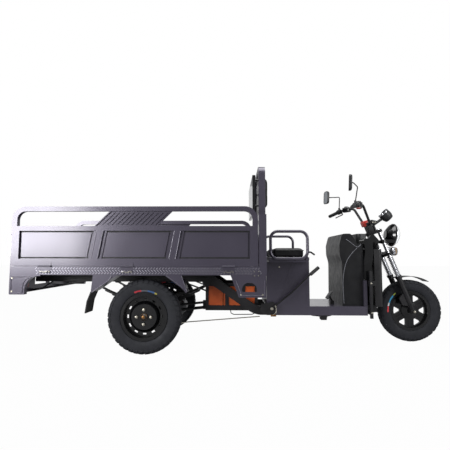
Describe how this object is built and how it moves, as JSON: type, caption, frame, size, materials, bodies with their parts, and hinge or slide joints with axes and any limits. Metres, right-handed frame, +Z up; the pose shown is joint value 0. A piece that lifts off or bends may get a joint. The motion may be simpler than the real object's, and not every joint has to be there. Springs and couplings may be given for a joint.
{
  "type": "electric cargo tricycle",
  "caption": "Three-wheeled electric load carrier with a drop-side bed, bench seat over a box, low footboard and raked spring fork.",
  "frame": {"origin": "on the ground under the middle of the closed vehicle, bottom centre of its box", "axes": "+X forward, +Y to the rider's left, +Z up"},
  "size_m": [3.536, 1.229, 1.48],
  "materials": {
    "body_paint": "satin metallic lavender-grey enamel",
    "black_paint": "satin black powder coat",
    "gloss_black": "gloss black moulded plastic",
    "black_plastic": "matte black moulded plastic",
    "tyre": "matte tyre rubber",
    "rubber": "matte black rubber",
    "chrome": "polished chrome",
    "zinc": "zinc-plated steel",
    "leatherette": "black leatherette, tufted",
    "battery_case": "orange moulded case",
    "cast_alloy": "grey cast alloy, sand-cast skin",
    "clear_lens": "clear moulded lens",
    "red_lens": "red moulded lens",
    "mirror_glass": "silvered mirror"
  },
  "bodies": {
    "chassis": {"apron": "black_paint", "back_pad": "leatherette", "batteries": "battery_case", "battery_tray": "black_paint", "bed_cross_members": "black_paint", "bed_floor": "body_paint", "bed_hinges": "zinc", "brake_rods": "zinc", "column_cover": "black_plastic", "deck": "body_paint", "drive_motor": "cast_alloy", "foot_pedal": "black_paint", "frame_crossbars": "black_paint", "front_corner_plates": "body_paint", "headboard": "body_paint", "headboard_back": "gloss_black", "knee_panel": "leatherette", "leaf_springs": "black_paint", "main_rails": "black_paint", "mud_flaps": "rubber", "mudguards": "body_paint", "parking_lever": "black_paint", "rear_axle": "black_paint", "rear_corner_plates": "body_paint", "seat_box": "body_paint", "seat_cushion": "leatherette", "seat_frame": "body_paint", "seat_latch": "black_plastic", "shield_brackets": "black_paint", "shield_posts": "body_paint", "side_trims": "gloss_black", "spring_hangers": "black_paint", "steering_head": "black_paint", "tail_lamps": "red_lens", "tail_panel": "body_paint"},
    "steering": {"fork_crowns": "black_paint", "fork_springs": "chrome", "fork_sliders": "black_paint", "front_fender": "black_plastic", "handlebar": "black_paint", "grips": "rubber", "switch_pods": "black_plastic", "mirror_shells": "black_plastic", "mirror_glasses": "mirror_glass", "headlamp_shell": "gloss_black", "headlamp_lens": "clear_lens", "gauge_pod": "black_plastic", "turn_signals": "chrome"},
    "front_wheel": {"front_rim": "black_paint", "front_tyre": "tyre"},
    "rear_wheel_right": {"rear_rim_right": "black_paint", "rear_tyre_right": "tyre"},
    "rear_wheel_left": {"rear_rim_left": "black_paint", "rear_tyre_left": "tyre"},
    "drop_side_right": {"side_board_right": "body_paint", "side_latch_right": "zinc"},
    "drop_side_left": {"side_board_left": "body_paint", "side_latch_left": "zinc"},
    "tailgate_body": {"tailgate": "body_paint"}
  },
  "joints": [
    {"name": "steer", "type": "hinge", "parent": "chassis", "child": "steering", "pos_m": [1.44189, 0, 0.267], "axis": [-0.3665, 0, 0.9304], "range_deg": [-38, 38]},
    {"name": "front_wheel_spin", "type": "hinge", "parent": "steering", "child": "front_wheel", "pos_m": [1.501, 0, 0.267], "axis": [0, 1, 0], "continuous": true},
    {"name": "rear_wheel_right_spin", "type": "hinge", "parent": "chassis", "child": "rear_wheel_right", "pos_m": [-0.723, -0.5175, 0.28], "axis": [0, 1, 0], "continuous": true},
    {"name": "rear_wheel_left_spin", "type": "hinge", "parent": "chassis", "child": "rear_wheel_left", "pos_m": [-0.723, 0.5175, 0.28], "axis": [0, 1, 0], "continuous": true},
    {"name": "drop_side_right_hinge", "type": "hinge", "parent": "chassis", "child": "drop_side_right", "pos_m": [-0.803, -0.608, 0.662], "axis": [1, 0, 0], "range_deg": [0, 178]},
    {"name": "drop_side_left_hinge", "type": "hinge", "parent": "chassis", "child": "drop_side_left", "pos_m": [-0.803, 0.608, 0.662], "axis": [-1, 0, 0], "range_deg": [0, 178]},
    {"name": "tailgate_hinge", "type": "hinge", "parent": "chassis", "child": "tailgate_body", "pos_m": [-1.752, 0, 0.662], "axis": [0, -1, 0], "range_deg": [0, 178]}
  ]
}
